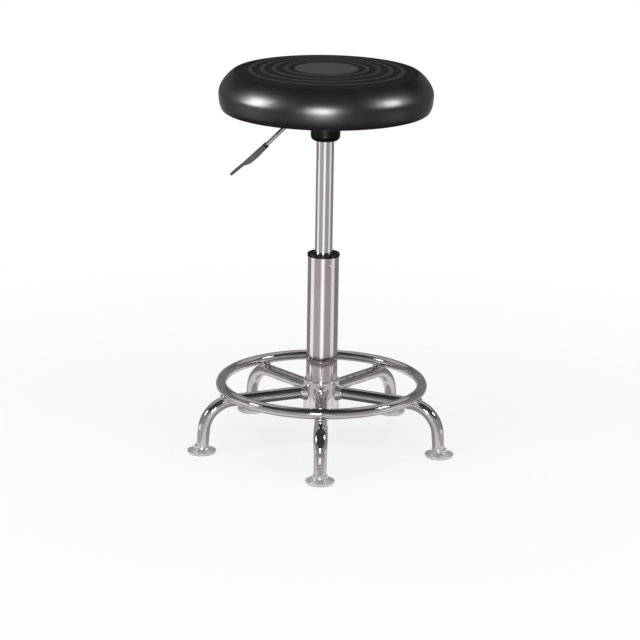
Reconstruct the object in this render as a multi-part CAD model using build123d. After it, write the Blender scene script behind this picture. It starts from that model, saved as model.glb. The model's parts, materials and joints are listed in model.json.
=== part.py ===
from build123d import *
from math import cos, pi, radians, sin, sqrt, tan
import os

# Round stool: a moulded seat on a gas lift, a five-legged tubular base and a footrest ring.
# Millimetres, Z up. The origin is on the floor, on the column's axis, and one leg points along -Y.

# Overall sizes, with the seat fully raised
seat_top_height = 590
lift_stroke = 110

# Fits between pieces
press_clearance = 0.02
running_clearance = 0.06
soft_clearance = 0.3

# Legs, from the hub out and down to the floor
leg_names = ("front", "right_front", "right_back", "left_back", "left_front")
first_leg_azimuth = -90
leg_od = 19
leg_wall = 1.5
leg_hub_height = 84
leg_slope = 2.2
leg_bend_radius = 47
leg_bend_width = 21.6
leg_bend_sections = 8
leg_splay = 5.2
foot_circle_radius = 191.5

# Feet: a flared steel cup on each leg, with a nylon pad under it
foot_radius = 22
foot_rim_height = 2
foot_cup_height = 12
foot_shoulder_width = 1.6
foot_flare_sag = 2.6
foot_spigot_length = 16
pad_radius = 20.5
pad_thickness = 2
pad_plug_radius = 11
pad_plug_height = 4

# Hub, bored with a locking taper for the column
hub_od = 54.5
hub_bottom = 50
hub_height = 54
hub_edge_radius = 1.5
leg_socket_wall = 2
weld_width = 4.5
weld_toe = 0.6
weld_reach = 7

# Footrest ring, welded on top of the legs
ring_radius = 155
ring_od = 16
ring_wall = 1.2
ring_vent_bore = 4
ring_weld_gap = 0.03

# Column tube and its guide bush
column_od = 48
column_wall = 2
column_top = 300
column_taper_angle = 1.43
column_floor_thickness = 5
stake_count = 3
stake_azimuth = -66
stake_drop = 11
stake_radius = 3.5
stake_depth = 1
bush_length = 90
bush_cap_thickness = 4
bush_cap_overhang = 0.8
bush_cap_edge = 1.2

# Thrust bearing under the piston rod
race_thickness = 2
race_radius = 14
race_bore_gap = 0.6
ball_diameter = 3.9
ball_gap = 0.05
ball_count = 12
ball_pitch_radius = 9.5
ball_pocket_gap = 0.15
cage_thickness = 1.6
cage_width = 7
clip_thickness = 1.2
clip_radius = 7.5
clip_gap = 0.2
clip_groove_depth = 0.8
clip_opening = 5

# Gas spring
rod_diameter = 10
rod_end_diameter = 8
rod_end_length = 6
damper_radius = 12
damper_height = 15
damper_gap = 2
cylinder_od = 27
cylinder_wall = 2
cylinder_floor = 1.5
cylinder_mouth_gap = 2.5
rod_guide_height = 10
rod_seal_height = 6
piston_rebound = 10
piston_height = 12
piston_neck_diameter = 7
piston_ring_width = 2.5
piston_ring_depth = 1.5
inner_tube_od = 20
inner_tube_wall = 1
valve_length = 40
valve_recess = 2
valve_spigot = 6
release_pin_diameter = 6
release_pin_dome = 4
release_pin_tail = 6

# Seat support: plate, taper socket and the cover on the socket
plate_side = 170
plate_thickness = 3
plate_corner = 12
bolt_pitch = 125
socket_od = 36
socket_length = 41
cylinder_taper_length = 24
cover_od = 45
cover_wall = 2.5
cover_height = 29
cover_floor = 3
cover_floor_gap = 1
cover_edge = 8
cover_rib_height = 4

# Lever, in a vertical plane through the column's axis
lever_azimuth = 174
lever_drop = 7
lever_rod_diameter = 6.5
lever_overlap = 4
lever_pivot_radius = 24
lever_travel = 8
lever_neck_radius = 91
lever_rod_slope = 45.5
lever_neck_drop = 49
lever_bend_radius = 12
lever_pin_gap = 0.3
lever_slot_gap = 1
pivot_pin_diameter = 4
pivot_head_diameter = 7
pivot_head_height = 1.5
bracket_thickness = 2
bracket_length = 9
bracket_drop = 11
bracket_side_gap = 0.5
neck_ring_od = 8.6
neck_ring_length = 3
handle_slope = 41.5
handle_length = 71
handle_neck_width = 10
handle_blade_width = 21
handle_blade_start = 46
handle_upper_edge = 4.1
handle_lower_edge = 4.4
handle_boss_depth = 5.9
handle_boss_start = 10
handle_boss_middle = 28
handle_boss_end = 40
handle_blade_half = 1.7
handle_edge_radius = 1.2
handle_insert = 20

# Seat: moulded cushion round a plywood board, screwed to the plate
seat_radius = 161.8
seat_dome_reach = 138.5
seat_dome_drop = 6
seat_shoulder_height = 32.5
seat_shoulder_lead = 4.5
seat_shoulder_swell = 15
seat_side_height = 25.5
seat_side_draw = 3
seat_bottom_edge = 5
groove_count = 4
groove_first_radius = 52
groove_pitch = 18
groove_section_radius = 3.6
groove_depth = 2.2
ridge_section_radius = 11
ridge_height = 0.9
board_radius = 130
board_thickness = 12
bolt_diameter = 6
bolt_hole_gap = 0.3
bolt_head_across = 10
bolt_head_height = 4
bolt_length = 13
washer_radius = 6
washer_thickness = 1.2
nut_barrel_diameter = 8
nut_flange_radius = 9
nut_flange_thickness = 1.5

# Heights that follow, base
hub_top = hub_bottom + hub_height
column_floor_top = hub_bottom + column_floor_thickness
lower_race_top = column_floor_top + race_thickness
ball_centre = lower_race_top + ball_gap + ball_diameter / 2
upper_race_bottom = ball_centre + ball_diameter / 2 + ball_gap
rod_shoulder = upper_race_bottom + race_thickness
damper_top = rod_shoulder + damper_height
clip_top = hub_bottom - clip_gap
clip_bottom = clip_top - clip_thickness

# Heights that follow, gas spring and seat at full height
cylinder_bottom = damper_top + damper_gap + lift_stroke
guide_bottom = cylinder_bottom + cylinder_floor
seal_bottom = guide_bottom + rod_guide_height
seal_top = seal_bottom + rod_seal_height
piston_bottom = seal_top + piston_rebound
piston_top = piston_bottom + piston_height
shoulder_top = seat_top_height - seat_dome_drop
seat_widest = shoulder_top - seat_shoulder_height
seat_underside = seat_widest - seat_side_height
plate_bottom = seat_underside - plate_thickness
socket_bottom = plate_bottom - socket_length
cylinder_top = socket_bottom + cylinder_taper_length
valve_bottom = cylinder_top - valve_length
lever_height = plate_bottom - lever_drop
release_pin_top = lever_height - lever_rod_diameter / 2 - lever_pin_gap

# Radii that follow
leg_radius = leg_od / 2
column_radius = column_od / 2
cylinder_radius = cylinder_od / 2
cylinder_inner = cylinder_radius - cylinder_wall
inner_tube_inner = inner_tube_od / 2 - inner_tube_wall
rod_radius = rod_diameter / 2
rod_end_radius = rod_end_diameter / 2
leg_seat_radius = column_radius + leg_socket_wall
leg_azimuths = [first_leg_azimuth + 360 / len(leg_names) * i for i in range(len(leg_names))]


# Shapes used by several pieces


def disc(radius, bottom, top):
    """An upright cylinder on the column's axis."""
    return Pos(0, 0, bottom) * Cylinder(radius, top - bottom, align=(Align.CENTER, Align.CENTER, Align.MIN))


def sleeve(outer, inner, bottom, top):
    """An upright ring or tube on the column's axis."""
    return disc(outer, bottom, top) - disc(inner, bottom, top)


def spun(outline):
    """A solid of revolution about the column's axis, from a closed outline in radius and height."""
    return revolve(Plane.XZ * make_face(outline), Axis.Z)


def swept_bar(path, radius):
    """A round bar along a path."""
    return sweep(Plane(path @ 0, z_dir=path % 0) * Circle(radius), path)


def column_outside(height):
    """Radius of the column's outside, which tapers where it sits in the hub."""
    depth = max(0, hub_top - height)
    return column_radius - depth * tan(radians(column_taper_angle))


def cylinder_outside(height):
    """Radius of the gas cylinder's outside, which tapers where it sits in the socket."""
    depth = max(0, height - socket_bottom)
    return cylinder_radius - depth * tan(radians(column_taper_angle))


# Legs, hub, ring and feet


def leg_corner():
    """Where a leg's two straight stretches would cross, in radius and height."""
    slope = tan(radians(leg_slope))
    splay = tan(radians(leg_splay))
    height = (leg_hub_height - (foot_circle_radius - leg_seat_radius) * slope) / (1 - slope * splay)
    return foot_circle_radius - height * splay, height


def leg_path():
    """A leg's centre line in the XZ plane, from its end in the hub to the floor."""
    points = [(leg_seat_radius, leg_hub_height), leg_corner(), (foot_circle_radius, 0)]
    return Plane.XZ * FilletPolyline(*points, radius=leg_bend_radius)


def hub_end_plane():
    """The plane of a leg's end in the hub, facing out along the leg."""
    slope = radians(leg_slope)
    return Plane((leg_seat_radius, 0, leg_hub_height), x_dir=(0, 1, 0), z_dir=(cos(slope), 0, -sin(slope)))


def foot_axis_plane():
    """The plane at the foot's shoulder, facing up along the leg's lower stretch."""
    splay = radians(leg_splay)
    radius = foot_circle_radius - foot_cup_height * tan(splay)
    return Plane((radius, 0, foot_cup_height), x_dir=(0, 1, 0), z_dir=(-sin(splay), 0, cos(splay)))


def leg_bar(radius):
    """A bar along a leg, swollen sideways in its bend, where bending has flattened the tube."""
    path = leg_path()
    bend = path.edges().filter_by(GeomType.CIRCLE)[0]
    swell = (leg_bend_width - leg_od) / 2
    sections = []
    for i in range(leg_bend_sections + 1):
        share = i / leg_bend_sections
        across = Plane(bend @ share, x_dir=(0, 1, 0), z_dir=bend % share)
        sections.append(across * Ellipse(radius + swell * sin(pi * share) ** 2, radius))
    bar = loft(sections)
    for stretch in path.edges().filter_by(GeomType.LINE):
        bar += swept_bar(stretch, radius)
    return bar


def make_leg():
    tube = leg_bar(leg_radius) - leg_bar(leg_radius - leg_wall)
    below = Pos(foot_circle_radius, 0, foot_cup_height) * Box(
        4 * leg_od, 4 * leg_od, 4 * foot_cup_height, align=(Align.CENTER, Align.CENTER, Align.MAX)
    )
    return tube - below


def make_hub():
    hub = disc(hub_od / 2, hub_bottom, hub_top)
    hub = fillet(hub.edges(), hub_edge_radius)
    face = hub_end_plane()
    collar_length = hub_od / 2 - leg_seat_radius + weld_reach
    collar = face * Cone(
        leg_radius + weld_width, leg_radius + weld_toe, collar_length,
        align=(Align.CENTER, Align.CENTER, Align.MIN),
    )
    socket = face * Cylinder(
        leg_radius + press_clearance, 2 * collar_length, align=(Align.CENTER, Align.CENTER, Align.MIN)
    )
    for azimuth in leg_azimuths:
        hub += Rot(0, 0, azimuth) * collar
    for azimuth in leg_azimuths:
        hub -= Rot(0, 0, azimuth) * socket
    bore = spun(Polyline(
        (0, hub_bottom),
        (column_outside(hub_bottom) + press_clearance, hub_bottom),
        (column_outside(hub_top) + press_clearance, hub_top),
        (0, hub_top),
        close=True,
    ))
    return hub - bore


def ring_height():
    """Height of the ring's centre line where the ring rests on the legs."""
    slope = radians(leg_slope)
    reach = leg_radius + ring_od / 2 + ring_weld_gap
    corner_radius, corner_height = leg_corner()
    lead = leg_bend_radius * tan(radians(90 - leg_splay - leg_slope) / 2)
    bend_radius = corner_radius - lead * cos(slope) - leg_bend_radius * sin(slope)
    bend_height = corner_height + lead * sin(slope) - leg_bend_radius * cos(slope)
    offset = ring_radius - bend_radius
    if offset <= (leg_bend_radius + reach) * sin(slope):
        return leg_hub_height - (ring_radius - leg_seat_radius) * tan(slope) + reach / cos(slope)
    return bend_height + sqrt((leg_bend_radius + reach) ** 2 - offset ** 2)


def make_ring():
    height = ring_height()
    tube = Torus(ring_radius, ring_od / 2) - Torus(ring_radius, ring_od / 2 - ring_wall)
    vent = Pos(ring_radius, 0, 0) * Cylinder(
        ring_vent_bore / 2, ring_od, align=(Align.CENTER, Align.CENTER, Align.MAX)
    )
    for azimuth in leg_azimuths:
        tube -= Rot(0, 0, azimuth) * vent
    return Pos(0, 0, height) * tube


def make_foot_cup():
    neck = leg_radius + foot_shoulder_width
    rim_top = pad_thickness + foot_rim_height
    middle = ((neck + foot_radius) / 2 - foot_flare_sag, (foot_cup_height + rim_top) / 2 - foot_flare_sag)
    outline = [
        Polyline((neck, foot_cup_height), (0, foot_cup_height), (0, pad_thickness),
                 (foot_radius, pad_thickness), (foot_radius, rim_top)),
        ThreePointArc((foot_radius, rim_top), middle, (neck, foot_cup_height)),
    ]
    cup = spun(outline)
    cup -= disc(pad_plug_radius + press_clearance, pad_thickness, pad_thickness + pad_plug_height)
    cup = Pos(foot_circle_radius, 0, 0) * cup
    spigot = Cylinder(
        leg_radius - leg_wall - press_clearance, foot_spigot_length,
        align=(Align.CENTER, Align.CENTER, Align.MIN),
    )
    return cup + foot_axis_plane() * spigot


def make_foot_pad():
    pad = disc(pad_radius, 0, pad_thickness) + disc(pad_plug_radius, 0, pad_thickness + pad_plug_height)
    return Pos(foot_circle_radius, 0, 0) * pad


# Column, bush and thrust bearing


def make_column_tube():
    tube = spun(Polyline(
        (column_radius, column_top),
        (column_radius, hub_top),
        (column_outside(hub_bottom), hub_bottom),
        (column_outside(hub_bottom) - column_wall, hub_bottom),
        (column_radius - column_wall, hub_top),
        (column_radius - column_wall, column_top),
        close=True,
    ))
    stake_reach = column_radius + stake_radius - stake_depth
    stake = Pos(stake_reach, 0, column_top - stake_drop) * Sphere(stake_radius)
    for i in range(stake_count):
        tube -= Rot(0, 0, stake_azimuth + 360 / stake_count * i) * stake
    return tube


def make_guide_bush():
    barrel = disc(column_radius - column_wall - press_clearance, column_top - bush_length, column_top)
    cap = disc(column_radius + bush_cap_overhang, column_top, column_top + bush_cap_thickness)
    cap = fillet(cap.edges().group_by(Axis.Z)[-1], bush_cap_edge)
    bore = disc(cylinder_radius + running_clearance, 0, seat_top_height)
    return barrel + cap - bore


def make_column_floor():
    floor = spun(Polyline(
        (0, hub_bottom),
        (column_outside(hub_bottom) - column_wall - press_clearance, hub_bottom),
        (column_outside(column_floor_top) - column_wall - press_clearance, column_floor_top),
        (0, column_floor_top),
        close=True,
    ))
    return floor - disc(rod_end_radius + running_clearance, hub_bottom, column_floor_top)


def make_lower_race():
    return sleeve(race_radius, rod_end_radius + race_bore_gap, column_floor_top, lower_race_top)


def make_upper_race():
    return sleeve(race_radius, rod_end_radius + press_clearance, upper_race_bottom, rod_shoulder)


def ball_places():
    """Places of the bearing balls round the rod."""
    return PolarLocations(ball_pitch_radius, ball_count)


def make_bearing_balls():
    ball = Pos(0, 0, ball_centre) * Sphere(ball_diameter / 2)
    return Compound(children=[place * ball for place in ball_places()])


def make_bearing_cage():
    bottom = ball_centre - cage_thickness / 2
    top = ball_centre + cage_thickness / 2
    cage = sleeve(ball_pitch_radius + cage_width / 2, ball_pitch_radius - cage_width / 2, bottom, top)
    pocket = disc(ball_diameter / 2 + ball_pocket_gap, bottom, top)
    for place in ball_places():
        cage -= place * pocket
    return cage


def make_retaining_clip():
    groove = rod_end_radius - clip_groove_depth + press_clearance
    ring = sleeve(clip_radius, groove, clip_bottom, clip_top)
    opening = Pos(0, 0, clip_bottom) * Box(
        2 * clip_radius, clip_opening, clip_thickness, align=(Align.MIN, Align.CENTER, Align.MIN)
    )
    return ring - opening


# Gas spring


def make_piston_rod():
    rod = disc(rod_radius, rod_shoulder, piston_bottom)
    rod += disc(piston_neck_diameter / 2, piston_bottom, piston_top)
    rod += disc(rod_end_radius, clip_bottom - rod_end_length, rod_shoulder)
    return rod - sleeve(rod_radius, rod_end_radius - clip_groove_depth, clip_bottom, clip_top)


def piston_groove_bottom():
    return (piston_bottom + piston_top - piston_ring_width) / 2


def make_piston():
    radius = inner_tube_inner - running_clearance
    piston = sleeve(radius, piston_neck_diameter / 2 + press_clearance, piston_bottom, piston_top)
    low = piston_groove_bottom()
    return piston - sleeve(2 * radius, radius - piston_ring_depth, low, low + piston_ring_width)


def make_piston_ring():
    radius = inner_tube_inner - running_clearance
    low = piston_groove_bottom()
    return sleeve(radius, radius - piston_ring_depth + press_clearance, low, low + piston_ring_width)


def make_damper():
    return sleeve(damper_radius, rod_radius + press_clearance, rod_shoulder, damper_top)


def make_gas_cylinder():
    shell = spun(Polyline(
        (0, cylinder_bottom),
        (cylinder_radius, cylinder_bottom),
        (cylinder_radius, socket_bottom),
        (cylinder_outside(cylinder_top), cylinder_top),
        (0, cylinder_top),
        close=True,
    ))
    shell -= disc(cylinder_inner, guide_bottom, cylinder_top)
    return shell - disc(rod_radius + cylinder_mouth_gap, cylinder_bottom, guide_bottom)


def rod_bearing(bottom, top):
    """A ring pressed into the cylinder, in which the rod slides."""
    return sleeve(cylinder_inner - press_clearance, rod_radius + running_clearance, bottom, top)


def make_rod_guide():
    return rod_bearing(guide_bottom, seal_bottom)


def make_rod_seal():
    return rod_bearing(seal_bottom, seal_top)


def make_inner_tube():
    return sleeve(inner_tube_od / 2, inner_tube_inner, seal_top, valve_bottom)


def make_valve_body():
    body = disc(cylinder_inner - press_clearance, valve_bottom, cylinder_top - valve_recess)
    body += disc(inner_tube_inner - press_clearance, valve_bottom - valve_spigot, valve_bottom)
    return body - disc(release_pin_diameter / 2 + running_clearance, 0, seat_top_height)


def make_release_pin():
    pin = disc(release_pin_diameter / 2, valve_bottom + release_pin_tail, release_pin_top)
    dome = Pos(0, 0, release_pin_top - release_pin_dome) * Sphere(release_pin_dome)
    return pin & (dome + disc(release_pin_dome, 0, release_pin_top - release_pin_dome))


# Seat support


def bolt_places():
    """Places of the four screws that hold the seat."""
    return GridLocations(bolt_pitch, bolt_pitch, 2, 2)


def in_lever_plane(shape):
    """Turns a shape made in the XZ plane to the lever's direction."""
    return Rot(0, 0, lever_azimuth) * shape


def make_seat_plate():
    blank = RectangleRounded(plate_side, plate_side, plate_corner)
    plate = Pos(0, 0, plate_bottom) * extrude(blank, plate_thickness)
    hole = disc(bolt_diameter / 2 + bolt_hole_gap, plate_bottom, seat_underside)
    for place in bolt_places():
        plate -= place * hole
    return plate


def make_taper_socket():
    socket = disc(socket_od / 2, socket_bottom, plate_bottom)
    top_bore = cylinder_outside(cylinder_top) + press_clearance
    bore = spun(Polyline(
        (0, socket_bottom),
        (cylinder_radius + press_clearance, socket_bottom),
        (top_bore, cylinder_top),
        (top_bore, plate_bottom),
        (0, plate_bottom),
        close=True,
    ))
    dip = lever_pivot_radius * sin(radians(lever_travel))
    slot_bottom = lever_height - lever_rod_diameter / 2 - dip
    slot = Pos(0, 0, slot_bottom) * Box(
        socket_od, lever_rod_diameter + 2 * lever_slot_gap, plate_bottom - slot_bottom,
        align=(Align.MIN, Align.CENTER, Align.MIN),
    )
    return socket - bore - in_lever_plane(slot)


def make_socket_cover():
    bottom = socket_bottom - cover_floor
    cover = disc(cover_od / 2, bottom, bottom + cover_height)
    cover = fillet(cover.edges().group_by(Axis.Z)[0], cover_edge)
    cover -= disc(cover_od / 2 - cover_wall, socket_bottom, bottom + cover_height)
    cover += sleeve(
        cover_od / 2 - cover_wall, socket_od / 2 + press_clearance,
        socket_bottom, socket_bottom + cover_rib_height,
    )
    return cover - disc(cylinder_radius + cover_floor_gap, bottom, socket_bottom)


# Lever


def lever_across(radius, length):
    """A bar across the lever's plane, centred on the pivot."""
    return Pos(lever_pivot_radius, 0, lever_height) * Rot(90, 0, 0) * Cylinder(radius, length)


def make_lever_bracket():
    inner_width = lever_rod_diameter + 2 * bracket_side_gap
    outer_width = inner_width + 2 * bracket_thickness
    block = Pos(lever_pivot_radius, 0, plate_bottom) * Box(
        bracket_length, outer_width, bracket_drop, align=(Align.CENTER, Align.CENTER, Align.MAX)
    )
    block -= Pos(lever_pivot_radius, 0, plate_bottom - bracket_thickness) * Box(
        bracket_length, inner_width, bracket_drop, align=(Align.CENTER, Align.CENTER, Align.MAX)
    )
    block -= lever_across(pivot_pin_diameter / 2 + press_clearance, 2 * outer_width)
    return in_lever_plane(block)


def make_pivot_pin():
    width = lever_rod_diameter + 2 * bracket_side_gap + 2 * bracket_thickness
    pin = lever_across(pivot_pin_diameter / 2, width + 2 * pivot_head_height)
    heads = lever_across(pivot_head_diameter / 2, width + 2 * pivot_head_height)
    heads -= lever_across(pivot_head_diameter, width)
    return in_lever_plane(pin + heads)


def lever_neck():
    """Where the lever's rod enters its handle, in radius and height."""
    return lever_neck_radius, lever_height - lever_neck_drop


def lever_rod_point(distance):
    """A point on the rod's sloping stretch, at a distance past the neck."""
    radius, height = lever_neck()
    slope = radians(lever_rod_slope)
    return radius + distance * cos(slope), height - distance * sin(slope)


def lever_rod_plane(distance):
    """The plane across the rod's sloping stretch, at a distance past the neck, facing the handle."""
    radius, height = lever_rod_point(distance)
    slope = radians(lever_rod_slope)
    return Plane((radius, 0, height), x_dir=(0, 1, 0), z_dir=(cos(slope), 0, -sin(slope)))


def make_lever_rod():
    bend = lever_neck_radius - lever_neck_drop / tan(radians(lever_rod_slope))
    points = [(-lever_overlap, lever_height), (bend, lever_height), lever_rod_point(handle_insert)]
    path = Plane.XZ * FilletPolyline(*points, radius=lever_bend_radius)
    rod = swept_bar(path, lever_rod_diameter / 2)
    rod -= lever_across(pivot_pin_diameter / 2 + running_clearance, 2 * lever_rod_diameter)
    return in_lever_plane(rod)


def make_neck_ring():
    ring = Cylinder(neck_ring_od / 2, neck_ring_length) - Cylinder(
        lever_rod_diameter / 2 + press_clearance, neck_ring_length
    )
    tilt = tan(radians(lever_rod_slope - handle_slope)) * neck_ring_od / 2
    return in_lever_plane(lever_rod_plane(-neck_ring_length / 2 - tilt) * ring)


def make_lever_handle():
    """A thin blade with a thicker boss under its inner end, which holds the rod."""
    end = handle_length + handle_blade_half
    side = [
        Polyline((0, -handle_lower_edge), (0, handle_upper_edge), (handle_blade_start, handle_blade_half),
                 (end, handle_blade_half), (end, -handle_blade_half),
                 (handle_blade_start, -handle_blade_half)),
        Bezier((handle_blade_start, -handle_blade_half), (handle_boss_end, -handle_blade_half),
               (handle_boss_end, -handle_boss_depth), (handle_boss_middle, -handle_boss_depth)),
        Bezier((handle_boss_middle, -handle_boss_depth), (handle_boss_start, -handle_boss_depth),
               (handle_boss_start, -handle_lower_edge), (0, -handle_lower_edge)),
    ]
    tip = handle_length - handle_blade_width / 2
    plan = [
        Polyline((tip, -handle_blade_width / 2), (handle_blade_start, -handle_blade_width / 2),
                 (0, -handle_neck_width / 2), (0, handle_neck_width / 2),
                 (handle_blade_start, handle_blade_width / 2), (tip, handle_blade_width / 2)),
        ThreePointArc((tip, handle_blade_width / 2), (handle_length, 0), (tip, -handle_blade_width / 2)),
    ]
    slope = radians(handle_slope)
    radius, height = lever_neck()
    along = (cos(slope), 0, -sin(slope))
    neck = (radius, 0, height)
    side_plane = Plane(neck, x_dir=along, z_dir=(0, -1, 0))
    plan_plane = Plane(neck, x_dir=along, z_dir=(sin(slope), 0, cos(slope)))
    handle = extrude(side_plane * make_face(side), handle_blade_width, both=True)
    handle &= extrude(plan_plane * make_face(plan), handle_blade_width, both=True)
    handle = fillet(handle.edges(), handle_edge_radius)
    hole = Cylinder(
        lever_rod_diameter / 2 + press_clearance, 2 * handle_insert,
        align=(Align.CENTER, Align.CENTER, Align.MAX),
    )
    return in_lever_plane(handle - lever_rod_plane(handle_insert) * hole)


# Seat


def dome_surface(radius):
    """Height of the seat's dome at a radius."""
    return seat_top_height - seat_dome_drop * (radius / seat_dome_reach) ** 2


def make_seat_cushion():
    """The moulded cushion: domed, rounded at the shoulder, rippled on top, with a pocket for the board."""
    side_bottom = (seat_radius - seat_side_draw, seat_underside + seat_bottom_edge)
    bottom = (side_bottom[0] - seat_bottom_edge, seat_underside)
    dome_end = (seat_dome_reach, shoulder_top)
    dome_half = (seat_dome_reach / 2, seat_top_height - seat_dome_drop / 4)
    lead_drop = 2 * seat_dome_drop / seat_dome_reach * seat_shoulder_lead
    outline = [
        ThreePointArc((0, seat_top_height), dome_half, dome_end),
        Bezier(dome_end, (seat_dome_reach + seat_shoulder_lead, shoulder_top - lead_drop),
               (seat_radius, seat_widest + seat_shoulder_swell), (seat_radius, seat_widest)),
        Bezier((seat_radius, seat_widest), (seat_radius, (seat_widest + seat_underside) / 2), side_bottom),
        TangentArc(side_bottom, bottom, tangent=(-seat_side_draw, seat_underside - seat_widest)),
        Polyline(bottom, (0, seat_underside), (0, seat_top_height)),
    ]
    cushion = spun(outline)
    for i in range(groove_count):
        groove = groove_first_radius + groove_pitch * i
        ridge = groove + groove_pitch / 2
        ridge_middle = dome_surface(ridge) + ridge_height - ridge_section_radius
        groove_middle = dome_surface(groove) + groove_section_radius - groove_depth
        cushion += Pos(0, 0, ridge_middle) * Torus(ridge, ridge_section_radius)
        cushion -= Pos(0, 0, groove_middle) * Torus(groove, groove_section_radius)
    return cushion - disc(board_radius + soft_clearance, seat_underside, seat_underside + board_thickness)


def make_seat_board():
    top = seat_underside + board_thickness
    board = disc(board_radius, seat_underside, top)
    hole = disc(nut_barrel_diameter / 2 + press_clearance, seat_underside, top)
    hole += disc(nut_flange_radius + press_clearance, top - nut_flange_thickness, top)
    for place in bolt_places():
        board -= place * hole
    return board


def make_tee_nuts():
    top = seat_underside + board_thickness
    nut = disc(nut_barrel_diameter / 2, seat_underside, top)
    nut += disc(nut_flange_radius, top - nut_flange_thickness, top)
    nut -= disc(bolt_diameter / 2 + press_clearance, seat_underside, top)
    return Compound(children=[place * nut for place in bolt_places()])


def make_seat_washers():
    bottom = plate_bottom - washer_thickness
    washer = sleeve(washer_radius, bolt_diameter / 2 + bolt_hole_gap, bottom, plate_bottom)
    return Compound(children=[place * washer for place in bolt_places()])


def make_seat_bolts():
    head_top = plate_bottom - washer_thickness
    bolt = disc(bolt_diameter / 2, head_top, head_top + bolt_length)
    hexagon = RegularPolygon(bolt_head_across / 2, 6, major_radius=False)
    bolt += Pos(0, 0, head_top - bolt_head_height) * extrude(hexagon, bolt_head_height)
    return Compound(children=[place * bolt for place in bolt_places()])


# Every piece by its name

pieces = {
    "hub": make_hub(),
    "footrest_ring": make_ring(),
    "column_tube": make_column_tube(),
    "guide_bush": make_guide_bush(),
    "column_floor": make_column_floor(),
    "lower_race": make_lower_race(),
    "bearing_balls": make_bearing_balls(),
    "bearing_cage": make_bearing_cage(),
    "upper_race": make_upper_race(),
    "bump_damper": make_damper(),
    "retaining_clip": make_retaining_clip(),
    "piston_rod": make_piston_rod(),
    "piston": make_piston(),
    "piston_ring": make_piston_ring(),
    "gas_cylinder": make_gas_cylinder(),
    "rod_guide": make_rod_guide(),
    "rod_seal": make_rod_seal(),
    "inner_tube": make_inner_tube(),
    "valve_body": make_valve_body(),
    "release_pin": make_release_pin(),
    "taper_socket": make_taper_socket(),
    "socket_cover": make_socket_cover(),
    "seat_plate": make_seat_plate(),
    "lever_bracket": make_lever_bracket(),
    "lever_pivot_pin": make_pivot_pin(),
    "lever_rod": make_lever_rod(),
    "lever_neck_ring": make_neck_ring(),
    "lever_handle": make_lever_handle(),
    "seat_board": make_seat_board(),
    "tee_nuts": make_tee_nuts(),
    "seat_washers": make_seat_washers(),
    "seat_bolts": make_seat_bolts(),
    "seat_cushion": make_seat_cushion(),
}
for name, azimuth in zip(leg_names, leg_azimuths):
    turn = Rot(0, 0, azimuth)
    pieces[f"leg_{name}"] = turn * make_leg()
    pieces[f"foot_cup_{name}"] = turn * make_foot_cup()
    pieces[f"foot_pad_{name}"] = turn * make_foot_pad()

os.makedirs("parts", exist_ok=True)
for name, shape in pieces.items():
    export_step(shape, f"parts/{name}.step")
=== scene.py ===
import json
from math import asin, cos, exp, pi, radians, sin, sqrt

import bpy
from mathutils import Matrix, Vector


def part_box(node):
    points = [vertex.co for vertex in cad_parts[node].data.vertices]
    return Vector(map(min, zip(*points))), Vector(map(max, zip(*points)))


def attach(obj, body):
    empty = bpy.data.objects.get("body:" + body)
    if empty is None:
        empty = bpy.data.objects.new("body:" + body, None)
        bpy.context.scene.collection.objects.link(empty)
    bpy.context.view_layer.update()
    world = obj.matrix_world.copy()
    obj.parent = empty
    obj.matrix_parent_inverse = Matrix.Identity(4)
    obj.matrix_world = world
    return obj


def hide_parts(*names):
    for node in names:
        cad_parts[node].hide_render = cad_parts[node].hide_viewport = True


# Round gas-lift stool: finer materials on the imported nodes, the moulded seat and the footrest's welds.
# Metres, Z up, in the model's own frame: the floor is at 0 and the column stands on the Z axis.

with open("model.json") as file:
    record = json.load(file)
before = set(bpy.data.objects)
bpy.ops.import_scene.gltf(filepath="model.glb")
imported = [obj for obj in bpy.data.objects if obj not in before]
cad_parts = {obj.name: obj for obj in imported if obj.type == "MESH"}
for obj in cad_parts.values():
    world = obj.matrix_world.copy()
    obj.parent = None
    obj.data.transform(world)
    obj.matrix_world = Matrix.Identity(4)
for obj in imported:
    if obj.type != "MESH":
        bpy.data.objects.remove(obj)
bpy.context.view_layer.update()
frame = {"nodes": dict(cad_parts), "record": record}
nodes = frame["nodes"]

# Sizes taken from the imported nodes
seat_low, seat_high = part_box("seat_cushion")
seat_top = seat_high.z
seat_underside = seat_low.z
seat_radius = seat_high.x
board_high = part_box("seat_board")[1]
board_radius = board_high.x
board_top = board_high.z
ring_low, ring_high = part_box("footrest_ring")

# Sizes shared with the model: the seat's form
seat_side_height = 0.0255
seat_side_draw = 0.003
seat_bottom_edge = 0.005
shoulder_lead = 0.0045
shoulder_swell = 0.015
dome_reach = 0.1385
dome_drop = 0.006
groove_count = 4
groove_first_radius = 0.052
groove_pitch = 0.018
groove_radii = [groove_first_radius + groove_pitch * i for i in range(groove_count)]

# Sizes shared with the model: the legs and the footrest ring
leg_count = 5
first_leg_azimuth = -90
leg_azimuths = [first_leg_azimuth + 360 / leg_count * i for i in range(leg_count)]
leg_radius = 0.0095
leg_bend_radius = 0.047
leg_bend_centre = 0.14135
ring_tube_radius = 0.008
ring_radius = ring_high.x - ring_tube_radius


# Helpers for node materials


def feed(tree, socket, value):
    """Links a socket to another one, or sets its own value."""
    if isinstance(value, bpy.types.NodeSocket):
        tree.links.new(value, socket)
    else:
        socket.default_value = value


def fill(tree, node, **inputs):
    """Feeds a node's inputs by name. The names have _ for a space."""
    for key, value in inputs.items():
        feed(tree, node.inputs[key.replace("_", " ")], value)


def add(tree, kind, settings=None, **inputs):
    """A new node with its settings and inputs."""
    node = tree.nodes.new(kind)
    for key, value in (settings or {}).items():
        setattr(node, key, value)
    fill(tree, node, **inputs)
    return node


def new_material(name):
    """A new node material and its tree."""
    material = bpy.data.materials.new(name)
    material.use_nodes = True
    return material, material.node_tree


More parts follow.
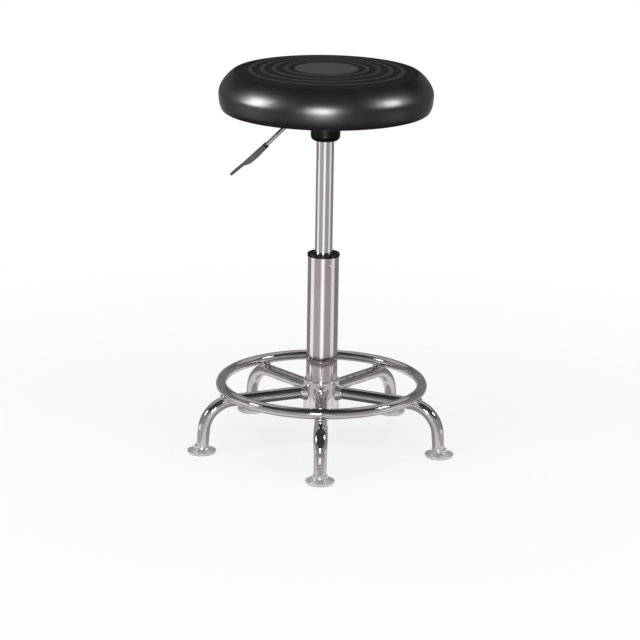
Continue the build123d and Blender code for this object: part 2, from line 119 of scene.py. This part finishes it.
def start(name):
    """A new node material: its tree, its shader and the object's own coordinates."""
    material, tree = new_material(name)
    shader = tree.nodes["Principled BSDF"]
    coordinates = add(tree, "ShaderNodeTexCoord").outputs["Object"]
    return material, tree, shader, coordinates


def noise(tree, where, scale, detail=2.0, roughness=0.5):
    """Soft noise from 0 to 1, with so many waves to a metre."""
    node = add(tree, "ShaderNodeTexNoise", Vector=where, Scale=scale, Detail=detail, Roughness=roughness)
    return node.outputs["Fac"]


def span(tree, value, source, target=(0, 1)):
    """Maps a value smoothly from one range to another and clips it there."""
    node = add(tree, "ShaderNodeMapRange", {"interpolation_type": "SMOOTHSTEP"}, Value=value)
    for name, number in zip(("From Min", "From Max", "To Min", "To Max"), (*source, *target)):
        feed(tree, node.inputs[name], number)
    return node.outputs["Result"]


def blend(tree, share, first, second):
    """A mix of two colours. The node has a pair of inputs and an output for each type of value."""
    node = add(tree, "ShaderNodeMix", {"data_type": "RGBA"})
    first_colour, second_colour, mixed_colour = node.inputs[6], node.inputs[7], node.outputs[2]
    feed(tree, node.inputs[0], share)
    feed(tree, first_colour, first)
    feed(tree, second_colour, second)
    return mixed_colour


def compute(tree, operation, first, second=0.0):
    """One step of arithmetic."""
    node = add(tree, "ShaderNodeMath", {"operation": operation})
    feed(tree, node.inputs[0], first)
    feed(tree, node.inputs[1], second)
    return node.outputs[0]


def bump(tree, height, strength, distance, under=None):
    """A bump from a height, on top of another bump if one is given."""
    node = add(tree, "ShaderNodeBump", Height=height, Strength=strength, Distance=distance)
    if under:
        feed(tree, node.inputs["Normal"], under)
    return node.outputs["Normal"]


def from_axis(tree, where):
    """Distance of a point from the column's axis."""
    flat = add(tree, "ShaderNodeVectorMath", {"operation": "MULTIPLY"})
    feed(tree, flat.inputs[0], where)
    feed(tree, flat.inputs[1], (1, 1, 0))
    length = add(tree, "ShaderNodeVectorMath", {"operation": "LENGTH"})
    feed(tree, length.inputs[0], flat.outputs[0])
    return length.outputs["Value"]


def grey(value, blush=0.0):
    """A grey, with a little more red if asked."""
    return (value * (1 + blush), value, value, 1.0)


# Materials


def chrome(name, bright, dull, rough, wave, scuff=0.0):
    """Plated steel: faint clouds, fine polishing haze, the waves of bent tube and a share scuffed matt."""
    material, tree, shader, where = start(name)
    clouds = span(tree, noise(tree, where, scale=28, detail=3), (0.35, 0.65))
    haze = noise(tree, where, scale=420, detail=3)
    hazed = rough + 0.05
    swell = bump(tree, noise(tree, where, scale=80), strength=wave, distance=0.002)
    fill(
        tree,
        shader,
        Base_Color=blend(tree, clouds, dull, bright),
        Metallic=1.0 - scuff,
        Roughness=span(tree, haze, (0.35, 0.7), (rough, hazed)),
        Normal=bump(tree, haze, strength=0.03, distance=0.0002, under=swell),
    )
    return material


def plastic(name, dark, light, rough, grain, gloss=0.5):
    """Moulded plastic: a fine spark-eroded grain and slightly uneven gloss."""
    material, tree, shader, where = start(name)
    patches = span(tree, noise(tree, where, scale=60, detail=3), (0.3, 0.7))
    roughest = rough + 0.08
    fill(
        tree,
        shader,
        Base_Color=blend(tree, patches, dark, light),
        Specular_IOR_Level=gloss,
        Roughness=span(tree, patches, (0, 1), (rough, roughest)),
        Normal=bump(tree, noise(tree, where, scale=1800), strength=grain, distance=0.0002),
    )
    return material


def metal(name, dark, light, rough, stretch):
    """Turned or drawn metal with fine tool marks, so many to a metre along each axis."""
    material, tree, shader, where = start(name)
    scaled = add(tree, "ShaderNodeMapping", Vector=where, Scale=stretch).outputs["Vector"]
    marks = noise(tree, scaled, scale=1.0, detail=4, roughness=0.6)
    roughest = rough + 0.12
    fill(
        tree,
        shader,
        Base_Color=blend(tree, marks, dark, light),
        Metallic=1.0,
        Roughness=span(tree, marks, (0.3, 0.7), (rough, roughest)),
        Normal=bump(tree, marks, strength=0.08, distance=0.0003),
    )
    return material


def paint(name, dark, light, rough):
    """Powder paint with its orange-peel skin."""
    material, tree, shader, where = start(name)
    patches = noise(tree, where, scale=45, detail=3)
    roughest = rough + 0.1
    fill(
        tree,
        shader,
        Base_Color=blend(tree, patches, dark, light),
        Roughness=span(tree, patches, (0.3, 0.7), (rough, roughest)),
        Normal=bump(tree, noise(tree, where, scale=700), strength=0.2, distance=0.0002),
    )
    return material


def rubber(name, dark, light):
    """Matt rubber with a dusty bloom."""
    material, tree, shader, where = start(name)
    bloom = noise(tree, where, scale=150, detail=4)
    fill(
        tree,
        shader,
        Base_Color=blend(tree, bloom, dark, light),
        Roughness=span(tree, bloom, (0.3, 0.7), (0.7, 0.85)),
        Normal=bump(tree, noise(tree, where, scale=2200), strength=0.1, distance=0.0002),
    )
    return material


def plywood(name):
    """Plywood stained nearly black: grain on its faces and thin plies on its edge."""
    material, tree, shader, where = start(name)
    dark_grain = (0.030, 0.024, 0.020, 1)
    light_grain = (0.050, 0.042, 0.036, 1)
    glue_line = (0.016, 0.013, 0.012, 1)
    along_grain = add(tree, "ShaderNodeMapping", Vector=where, Scale=(18, 260, 40)).outputs["Vector"]
    grain = noise(tree, along_grain, scale=1.0, detail=5, roughness=0.6)
    upward = {"bands_direction": "Z"}
    waves = add(tree, "ShaderNodeTexWave", upward, Vector=where, Scale=105, Distortion=0.4)
    plies = span(tree, waves.outputs["Fac"], (0.35, 0.65), (0, 0.35))
    timber = blend(tree, grain, dark_grain, light_grain)
    fill(
        tree,
        shader,
        Base_Color=blend(tree, plies, timber, glue_line),
        Roughness=span(tree, grain, (0.3, 0.7), (0.6, 0.75)),
        Normal=bump(tree, grain, strength=0.15, distance=0.0004),
    )
    return material


def hide(name, gloss):
    """The start of a moulded polyurethane skin: its cloudiness and a fine hide grain."""
    material, tree, shader, where = start(name)
    clouds = span(tree, noise(tree, where, scale=22, detail=4), (0.3, 0.7))
    cells = add(tree, "ShaderNodeTexVoronoi", {"feature": "DISTANCE_TO_EDGE"}, Vector=where, Scale=620.0)
    pebble = span(tree, cells.outputs["Distance"], (0.0, 0.25))
    swell = bump(tree, clouds, strength=0.04, distance=0.0015)
    grain = bump(tree, noise(tree, where, scale=1000), strength=0.18, distance=0.00026, under=swell)
    pebbled = bump(tree, pebble, strength=0.10, distance=0.00025, under=grain)
    fill(tree, shader, Specular_IOR_Level=gloss, Normal=pebbled)
    return material, tree, shader, clouds, from_axis(tree, where)


def seat_side(name):
    """The glossy skin round the seat's side: painted shade darkens its shoulder, and painted light makes
    the steep flank paler and a little purple.
    """
    material, tree, shader, clouds, radius = hide(name, gloss=0.5)
    rim_width, steep_width, steepest_width = 0.012, 0.016, 0.003
    # Painted light and shade: the shoulder is painted darker and the steep flank paler.
    steep = span(tree, radius, (seat_radius - steep_width, seat_radius - steepest_width))
    shoulder_painted_shade = blend(tree, clouds, (0.0080, 0.0064, 0.0072, 1), (0.0100, 0.0084, 0.0092, 1))
    flank_painted_light = (0.0150, 0.0112, 0.0156, 1)
    rough = span(tree, radius, (dome_reach, dome_reach + rim_width), (0.34, 0.29))
    uneven = span(tree, clouds, (0, 1), (0, 0.03))
    fill(
        tree,
        shader,
        Base_Color=blend(tree, steep, shoulder_painted_shade, flank_painted_light),
        Roughness=compute(tree, "ADD", rough, uneven),
    )
    return material


def seat_top_skin(name):
    """The matt skin on the seat's top, with painted light: darker at its edge, painted shade in the
    grooves, painted highlights on the ridges and a painted sheen that makes the middle paler.
    """
    material, tree, shader, clouds, radius = hide(name, gloss=0.06)
    first, last = groove_radii[0], groove_radii[-1]
    disc_fade = (first - 0.006, first - 0.002)
    ripple_fade = (last + 0.6 * groove_pitch, last + 0.8 * groove_pitch)
    middle = span(tree, radius, disc_fade, (1, 0))
    rippled = span(tree, radius, ripple_fade, (1, 0))
    turns = compute(tree, "MULTIPLY", compute(tree, "SUBTRACT", radius, first), 2 * pi / groove_pitch)
    # Painted shade in the grooves and painted highlights on the ridges, at the grooves' spacing.
    ridges = span(tree, compute(tree, "COSINE", turns), (0.1, -1.0))
    edge = blend(tree, clouds, (0.0140, 0.0126, 0.0130, 1), (0.0160, 0.0146, 0.0150, 1))
    painted_ridge_light = blend(tree, ridges, (0.0165, 0.0150, 0.0153, 1), (0.042, 0.0386, 0.0393, 1))
    # Painted sheen: the middle disc is painted paler than the ripples.
    painted_middle_sheen = blend(tree, clouds, (0.059, 0.055, 0.056, 1), (0.067, 0.062, 0.063, 1))
    fill(
        tree,
        shader,
        Base_Color=blend(tree, middle, blend(tree, rippled, edge, painted_ridge_light), painted_middle_sheen),
        Roughness=span(tree, clouds, (0, 1), (0.62, 0.66)),
    )
    return material


materials = {
    "seat_skin": seat_side("seat_skin_moulded"),
    "seat_top": seat_top_skin("seat_top_moulded"),
    "chrome_base": chrome("chrome_base_plated", grey(0.78, 0.03), grey(0.68, 0.05), rough=0.05, wave=0.16),
    "chrome_hub": chrome(
        "chrome_hub_plated", grey(0.95, 0.02), grey(0.88, 0.04), rough=0.05, wave=0.08, scuff=0.12
    ),
    "chrome_feet": chrome(
        "chrome_feet_dulled", grey(0.92, 0.01), grey(0.80, 0.02), rough=0.22, wave=0.35, scuff=0.28
    ),
    "chrome_column": chrome(
        "chrome_column_plated", grey(0.76, 0.07), grey(0.70, 0.09), rough=0.06, wave=0.02
    ),
    "chrome_cylinder": chrome(
        "chrome_cylinder_plated", grey(0.80, 0.02), grey(0.76, 0.03), rough=0.06, wave=0.01
    ),
    "chrome_rod": chrome("chrome_rod_dulled", grey(0.50), grey(0.42), rough=0.14, wave=0.0),
    "black_plastic": plastic(
        "black_plastic_moulded", grey(0.005), grey(0.008), rough=0.36, grain=0.12, gloss=0.10
    ),
    "grey_plastic": plastic(
        "grey_plastic_moulded", grey(0.034), grey(0.046), rough=0.55, grain=0.16, gloss=0.25
    ),
    "pale_nylon": plastic("pale_nylon_moulded", grey(0.56), grey(0.64), rough=0.45, grain=0.1),
    "natural_nylon": plastic(
        "natural_nylon_moulded", grey(0.64, 0.06), grey(0.72, 0.05), rough=0.4, grain=0.1
    ),
    "black_paint": paint("black_paint_sprayed", grey(0.02), grey(0.028), rough=0.38),
    "bare_steel": metal("bare_steel_drawn", grey(0.42), grey(0.56), rough=0.3, stretch=(300, 300, 14)),
    "bearing_steel": metal(
        "bearing_steel_ground", grey(0.52), grey(0.64), rough=0.14, stretch=(120, 120, 900)
    ),
    "zinc_steel": metal(
        "zinc_steel_plated", grey(0.48, 0.02), grey(0.62, 0.04), rough=0.28, stretch=(180, 180, 180)
    ),
    "turned_aluminium": metal(
        "aluminium_turned", grey(0.62), grey(0.74), rough=0.26, stretch=(40, 40, 1800)
    ),
    "black_rubber": rubber("black_rubber_bloomed", grey(0.014), grey(0.026)),
    "plywood": plywood("plywood_stained"),
}
slots = {entry["node"]: entry["material_slot"] for entry in frame["record"]["subparts"]}


def finish_of(node):
    """A node's material: its slot's own, but for the bright hub and the duller feet and lever rod."""
    if node == "hub":
        return materials["chrome_hub"]
    if node.startswith("foot_cup"):
        return materials["chrome_feet"]
    if node == "lever_rod":
        return materials["chrome_rod"]
    return materials[slots[node]]


for node, item in nodes.items():
    item.data.materials.clear()
    item.data.materials.append(finish_of(node))


# Pieces made here


made = []


def make_piece(name, points, faces, body, slot):
    """A smooth mesh that rides on a body and takes a slot's material."""
    mesh = bpy.data.meshes.new(name)
    mesh.from_pydata(points, [], faces)
    mesh.validate()
    mesh.polygons.foreach_set("use_smooth", [True] * len(mesh.polygons))
    item = bpy.data.objects.new(name, mesh)
    bpy.context.scene.collection.objects.link(item)
    mesh.materials.append(materials[slot])
    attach(item, body)
    made.append(item)
    return item


def curve(points, count):
    """Points on the Bezier curve with these control points, without its first point."""
    found = []
    for i in range(count):
        level = [Vector(point) for point in points]
        while len(level) > 1:
            level = [a.lerp(b, (i + 1) / count) for a, b in zip(level, level[1:])]
        found.append(tuple(level[0]))
    return found


# The moulded seat


groove_depth = 0.0022
groove_half_width = 0.0031
ridge_height = 0.0009
ridge_half_width = 0.0037


def dome_height(radius):
    """Height of the seat's top, with its ring grooves and a low ridge outside each."""
    height = seat_top - dome_drop * (radius / dome_reach) ** 2
    for groove in groove_radii:
        from_groove = (radius - groove) / groove_half_width
        from_ridge = (radius - groove - groove_pitch / 2) / ridge_half_width
        height += ridge_height * exp(-from_ridge ** 2) - groove_depth * exp(-from_groove ** 2)
    return height


def seat_outline():
    """The seat's half section in radius and height, from the middle of its top round to its pocket."""
    steps = 170
    outline = [(dome_reach * i / steps, dome_height(dome_reach * i / steps)) for i in range(steps + 1)]

    widest = (seat_radius, seat_underside + seat_side_height)
    dome_slope = 2 * dome_drop / dome_reach
    shoulder_start = (dome_reach + shoulder_lead, seat_top - dome_drop - dome_slope * shoulder_lead)
    shoulder_end = (seat_radius, widest[1] + shoulder_swell)
    outline += curve([outline[-1], shoulder_start, shoulder_end, widest], 26)

    side_middle = (seat_radius, seat_underside + seat_side_height / 2)
    side_end = (seat_radius - seat_side_draw, seat_underside + seat_bottom_edge)
    outline += curve([widest, side_middle, side_end], 14)

    corner_inset, edge_inset = 0.0049, 0.008
    edge_corner = (seat_radius - corner_inset, seat_underside)
    edge_end = (seat_radius - edge_inset, seat_underside)
    outline += curve([side_end, edge_corner, edge_end], 8)

    pocket_gap, roof_gap = 0.0004, 0.0002
    lip, corner = 0.001, 0.0005
    pocket = board_radius + pocket_gap
    roof = board_top + roof_gap
    outline += curve([edge_end, (pocket + lip, seat_underside)], 6)
    outline += curve([outline[-1], (pocket, seat_underside), (pocket, seat_underside + lip)], 4)
    outline += [(pocket, roof - corner), (pocket - corner, roof), (pocket / 2, roof), (0.0, roof)]
    return outline


def make_seat():
    """The seat's skin, turned from its half section: a matt top and a glossy side."""
    outline = seat_outline()
    turns = 224
    points = [(0.0, 0.0, outline[0][1])]
    for radius, height in outline[1:-1]:
        for i in range(turns):
            angle = 2 * pi * i / turns
            points.append((radius * cos(angle), radius * sin(angle), height))
    points.append((0.0, 0.0, outline[-1][1]))
    faces = []
    rings = len(outline) - 2
    for i in range(turns):
        j = (i + 1) % turns
        faces.append((0, 1 + i, 1 + j))
        for ring in range(rings - 1):
            a = 1 + ring * turns
            b = a + turns
            faces.append((a + i, b + i, b + j, a + j))
        last = 1 + (rings - 1) * turns
        faces.append((last + i, len(points) - 1, last + j))
    seat = make_piece("seat_pad", points, faces, "seat", "seat_skin")
    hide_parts("seat_cushion")
    seat.data.materials.append(materials["seat_top"])
    for polygon in seat.data.polygons:
        on_top = polygon.center.z > seat_top - 2 * dome_drop and polygon.center.xy.length < dome_reach
        polygon.material_index = int(on_top)


make_seat()


# Weld beads where the footrest ring lies on the legs


def make_weld(index, azimuth):
    """A rippled bead round the spot where the ring touches a leg's bend."""
    bead = 0.0017
    ripples, ripple_depth = 18, 0.10
    steps, sides = 64, 12
    outer_bend = leg_bend_radius + leg_radius
    lean = asin((ring_radius - leg_bend_centre) / (outer_bend + ring_tube_radius))
    outward = Vector((cos(radians(azimuth)), sin(radians(azimuth)), 0))
    upward = Vector((0, 0, 1))
    up = upward * cos(lean) + outward * sin(lean)
    along = outward * cos(lean) - upward * sin(lean)
    across = up.cross(along)
    spot = outward * ring_radius + upward * (ring_low.z + ring_tube_radius) - up * ring_tube_radius
    reach_along = sqrt(4 * bead / (1 / ring_tube_radius + 1 / outer_bend))
    reach_across = sqrt(4 * leg_radius * bead)
    rise = bead - reach_along ** 2 / (2 * outer_bend)
    points, faces = [], []
    for i in range(steps):
        angle = 2 * pi * i / steps
        height = rise * cos(angle) ** 2 - bead * sin(angle) ** 2
        around_spot = along * (reach_along * cos(angle)) + across * (reach_across * sin(angle))
        middle = spot + around_spot + up * height
        aside = along * cos(angle) + across * sin(angle)
        size = bead * (1 + ripple_depth * sin(ripples * angle))
        for k in range(sides):
            turn = 2 * pi * k / sides
            points.append(tuple(middle + aside * (size * cos(turn)) + up * (size * sin(turn))))
    for i in range(steps):
        for k in range(sides):
            a, b = i * sides + k, i * sides + (k + 1) % sides
            c, d = ((i + 1) % steps) * sides + k, ((i + 1) % steps) * sides + (k + 1) % sides
            faces.append((a, c, d, b))
    make_piece(f"ring_weld_{index + 1}", points, faces, "base", "chrome_base")


for index, azimuth in enumerate(leg_azimuths):
    make_weld(index, azimuth)


# Stage: floor, world, cards that the metal mirrors, and lamps


card_lift = 0.002
studio_radius = 3.2


def sight(tree):
    """1 for rays from the camera, off gloss or through glass, and 0 for those that light a surface."""
    rays = add(tree, "ShaderNodeLightPath").outputs
    seen = compute(tree, "MAXIMUM", rays["Is Camera Ray"], rays["Is Glossy Ray"])
    return compute(tree, "MAXIMUM", seen, rays["Is Transmission Ray"])


def mix_shaders(tree, share, first, second):
    """A mix of two shaders."""
    node = add(tree, "ShaderNodeMixShader")
    for socket, value in zip(node.inputs, (share, first, second)):
        feed(tree, socket, value)
    return node.outputs["Shader"]


def stage_mesh(name, points, faces, material):
    """A mesh that isn't part of the stool."""
    mesh = bpy.data.meshes.new(name)
    mesh.from_pydata(points, [], faces)
    mesh.materials.append(material)
    item = bpy.data.objects.new(name, mesh)
    bpy.context.scene.collection.objects.link(item)
    return item


def make_floor():
    """A pale floor with a soft shadow: most of its light is its own near the part, all of it far away."""
    material, tree, shader, where = start("floor_pale")
    patches = noise(tree, where, scale=3)
    fill(tree, shader, Base_Color=blend(tree, patches, grey(0.86), grey(0.89)), Roughness=0.8)
    glow = add(tree, "ShaderNodeEmission", Color=grey(1.0), Strength=1.0).outputs["Emission"]
    own_light = span(tree, from_axis(tree, where), (0.3, 1.2), (0.75, 1.0))
    share = compute(tree, "MULTIPLY", sight(tree), own_light)
    surface = mix_shaders(tree, share, shader.outputs["BSDF"], glow)
    fill(tree, tree.nodes["Material Output"], Surface=surface)
    reach = 40
    corners = [(-reach, -reach, 0), (reach, -reach, 0), (reach, reach, 0), (-reach, reach, 0)]
    stage_mesh("floor", corners, [(0, 1, 2, 3)], material)


def make_world():
    """White to the camera and to mirrors past the cards, and a plain even light to everything else."""
    world = bpy.data.worlds.new("studio")
    bpy.context.scene.world = world
    world.use_nodes = True
    tree = world.node_tree
    tree.nodes.clear()
    light = add(tree, "ShaderNodeBackground", Color=grey(1.0), Strength=0.5).outputs["Background"]
    white = add(tree, "ShaderNodeBackground", Color=grey(1.0), Strength=1.0).outputs["Background"]
    add(tree, "ShaderNodeOutputWorld", Surface=mix_shaders(tree, sight(tree), light, white))


def gather(name, metallic):
    """The metal pieces, or the others, as a group for lamps and cards that are for these alone."""
    group = bpy.data.collections.new(name)
    for item in [*nodes.values(), *made]:
        shader = item.data.materials[0].node_tree.nodes["Principled BSDF"]
        if bool(shader.inputs["Metallic"].default_value) == metallic:
            group.objects.link(item)
    return group


def make_card(name, brightness, section, first=0, last=360, group=None):
    """A studio card that only mirrors see: a section in radius and height, turned from angle to angle.

    Angles are in degrees from the camera's side, and grow towards +X. To pieces outside its group, the card
    is black.
    """
    material, tree = new_material(name)
    tree.nodes.remove(tree.nodes["Principled BSDF"])
    glow = add(tree, "ShaderNodeEmission", Color=grey(brightness, 0.02), Strength=1.0).outputs["Emission"]
    fill(tree, tree.nodes["Material Output"], Surface=glow)
    degrees_a_step = 4
    count = max(2, int((last - first) / degrees_a_step))
    points, faces = [], []
    for i in range(count + 1):
        angle = radians(-90 + first + (last - first) * i / count)
        points += [(radius * cos(angle), radius * sin(angle), height) for radius, height in section]
    for i in range(count):
        for k in range(len(section) - 1):
            a = i * len(section) + k
            b = a + len(section)
            faces.append((a, b, b + 1, a + 1))
    card = stage_mesh(name, points, faces, material)
    card.visible_camera = False
    card.visible_diffuse = False
    card.visible_shadow = False
    card.visible_transmission = False
    card.light_linking.receiver_collection = group


def make_floor_cards(metal_pieces):
    """Cards just over the floor: rings under the part, darkest under its middle as a painted reflection of
    its shadow, and sectors round it.
    """
    under_edge, near_edge = 0.38, 1.0
    ring_edges = (0.0, 0.10, 0.16, 0.27, under_edge)
    # Painted shadow for mirrors: the floor under the stool is darkest in its middle.
    under_shadow_brightness = (0.10, 0.30, 0.66, 0.42)
    for number, brightness in enumerate(under_shadow_brightness):
        section = [(edge, card_lift) for edge in ring_edges[number:number + 2]]
        make_card(f"card_under_{number + 1}", brightness, section, group=metal_pieces)
    around = (
        ("front_strip", -8, 3, 1.35),
        ("front_strip_right", 3, 9, 0.95),
        ("front_edge_right", 9, 15, 0.55),
        ("front_right", 15, 62, 0.36),
        ("right_strip", 62, 90, 0.85),
        ("right", 90, 150, 0.24),
        ("back", 150, 210, 0.5),
        ("left", -150, -100, 0.24),
        ("left_strip", -100, -68, 1.0),
        ("front_left", -68, -21, 0.42),
        ("front_edge_left", -21, -14, 0.62),
        ("front_strip_left", -14, -8, 1.0),
    )
    near = [(under_edge, card_lift), (near_edge, card_lift)]
    far = [(near_edge, card_lift), (studio_radius, card_lift)]
    for name, first, last, brightness in around:
        make_card(f"card_near_{name}", brightness, near, first, last, metal_pieces)
        make_card(f"card_far_{name}", brightness, far, first, last)


def make_wall_cards(metal_pieces):
    """Cards for the walls and the roof of the studio, in front and behind."""
    floor_line = (studio_radius, card_lift)
    front_top = (studio_radius, 1.4)
    back_middle = (studio_radius, 1.6)
    back_top = (studio_radius, 2.2)
    eaves = (studio_radius, 2.6)
    peak = (0.0, 3.4)
    front, back = (-100, 100), (100, 260)
    upper = (
        ("front_wall", 0.3, front, [floor_line, front_top], metal_pieces),
        ("front_roof", 0.05, front, [front_top, eaves, peak], metal_pieces),
        ("back_wall", 0.20, back, [floor_line, back_middle], None),
        ("back_wall_high", 0.12, back, [back_middle, back_top], metal_pieces),
        ("back_roof", 0.42, back, [back_top, eaves, peak], metal_pieces),
    )
    for name, brightness, (first, last), section, group in upper:
        make_card(f"card_{name}", brightness, section, first, last, group)


def make_lamp(name, azimuth, elevation, size, power, group=None):
    """A soft box at an angle from the camera's side: for a group's gloss, or else for all but gloss."""
    distance, target = 3.0, Vector((0, 0, 0.3))
    lamp = bpy.data.lights.new(name, "AREA")
    lamp.shape = "RECTANGLE"
    lamp.size, lamp.size_y = size
    lamp.energy = power
    item = bpy.data.objects.new(name, lamp)
    angle = radians(-90 + azimuth)
    flat = distance * cos(radians(elevation))
    offset = Vector((flat * cos(angle), flat * sin(angle), distance * sin(radians(elevation))))
    item.location = target + offset
    item.rotation_euler = (-offset).to_track_quat("-Z", "Y").to_euler()
    item.visible_camera = False
    item.visible_glossy = group is not None
    item.visible_diffuse = group is None
    item.light_linking.receiver_collection = group
    bpy.context.scene.collection.objects.link(item)


def make_lamps(metal_pieces, dark_pieces):
    """Soft boxes that the seat and the metal mirror, and fills for everything."""
    sparkle_size, fill_size = (0.6, 0.6), (1.6, 1.6)
    soft_boxes = (
        ("front", -4, 13.5, (0.6, 1.9), 215, 14),
        ("left", -80, 24, (0.9, 1.6), 181, 6),
        ("right", 78, 31.5, (0.7, 0.9), 85, 6),
    )
    for name, azimuth, elevation, size, power, sparkle in soft_boxes:
        make_lamp(f"gloss_{name}", azimuth, elevation, size, power, dark_pieces)
        make_lamp(f"sparkle_{name}", azimuth, elevation, sparkle_size, sparkle, metal_pieces)
    fills = (
        ("left", -60, 40, 30),
        ("right", 60, 40, 25),
        ("top", 0, 80, 20),
    )
    for name, azimuth, elevation, power in fills:
        make_lamp(f"fill_{name}", azimuth, elevation, fill_size, power)


def make_stage():
    """The floor, the world, the cards and the lamps."""
    metal_pieces = gather("metal_pieces", True)
    dark_pieces = gather("dark_pieces", False)
    make_floor()
    make_floor_cards(metal_pieces)
    make_wall_cards(metal_pieces)
    make_lamps(metal_pieces, dark_pieces)
    make_world()


make_stage()


# Camera


def place_camera():
    """The camera, at the photograph's place and angle."""
    distance, height = 4.0, 1.341
    pitch, yaw, roll = radians(15.96), radians(-0.055), radians(-0.92)
    focal_pixels, frame_pixels, sensor = 2708, 640, 36
    ahead = Vector((sin(yaw) * cos(pitch), cos(yaw) * cos(pitch), -sin(pitch)))
    level = Vector((cos(yaw), -sin(yaw), 0))
    upright = level.cross(ahead)
    right = cos(roll) * level - sin(roll) * upright
    up = sin(roll) * level + cos(roll) * upright
    camera = bpy.data.cameras.new("camera")
    camera.sensor_fit = "HORIZONTAL"
    camera.sensor_width = sensor
    camera.lens = focal_pixels / frame_pixels * sensor
    item = bpy.data.objects.new("camera", camera)
    turn = Matrix((right, up, -ahead)).transposed()
    item.matrix_world = Matrix.Translation((0, -distance, height)) @ turn.to_4x4()
    bpy.context.scene.collection.objects.link(item)
    bpy.context.scene.camera = item


place_camera()
bpy.context.scene.view_settings.view_transform = "Standard"
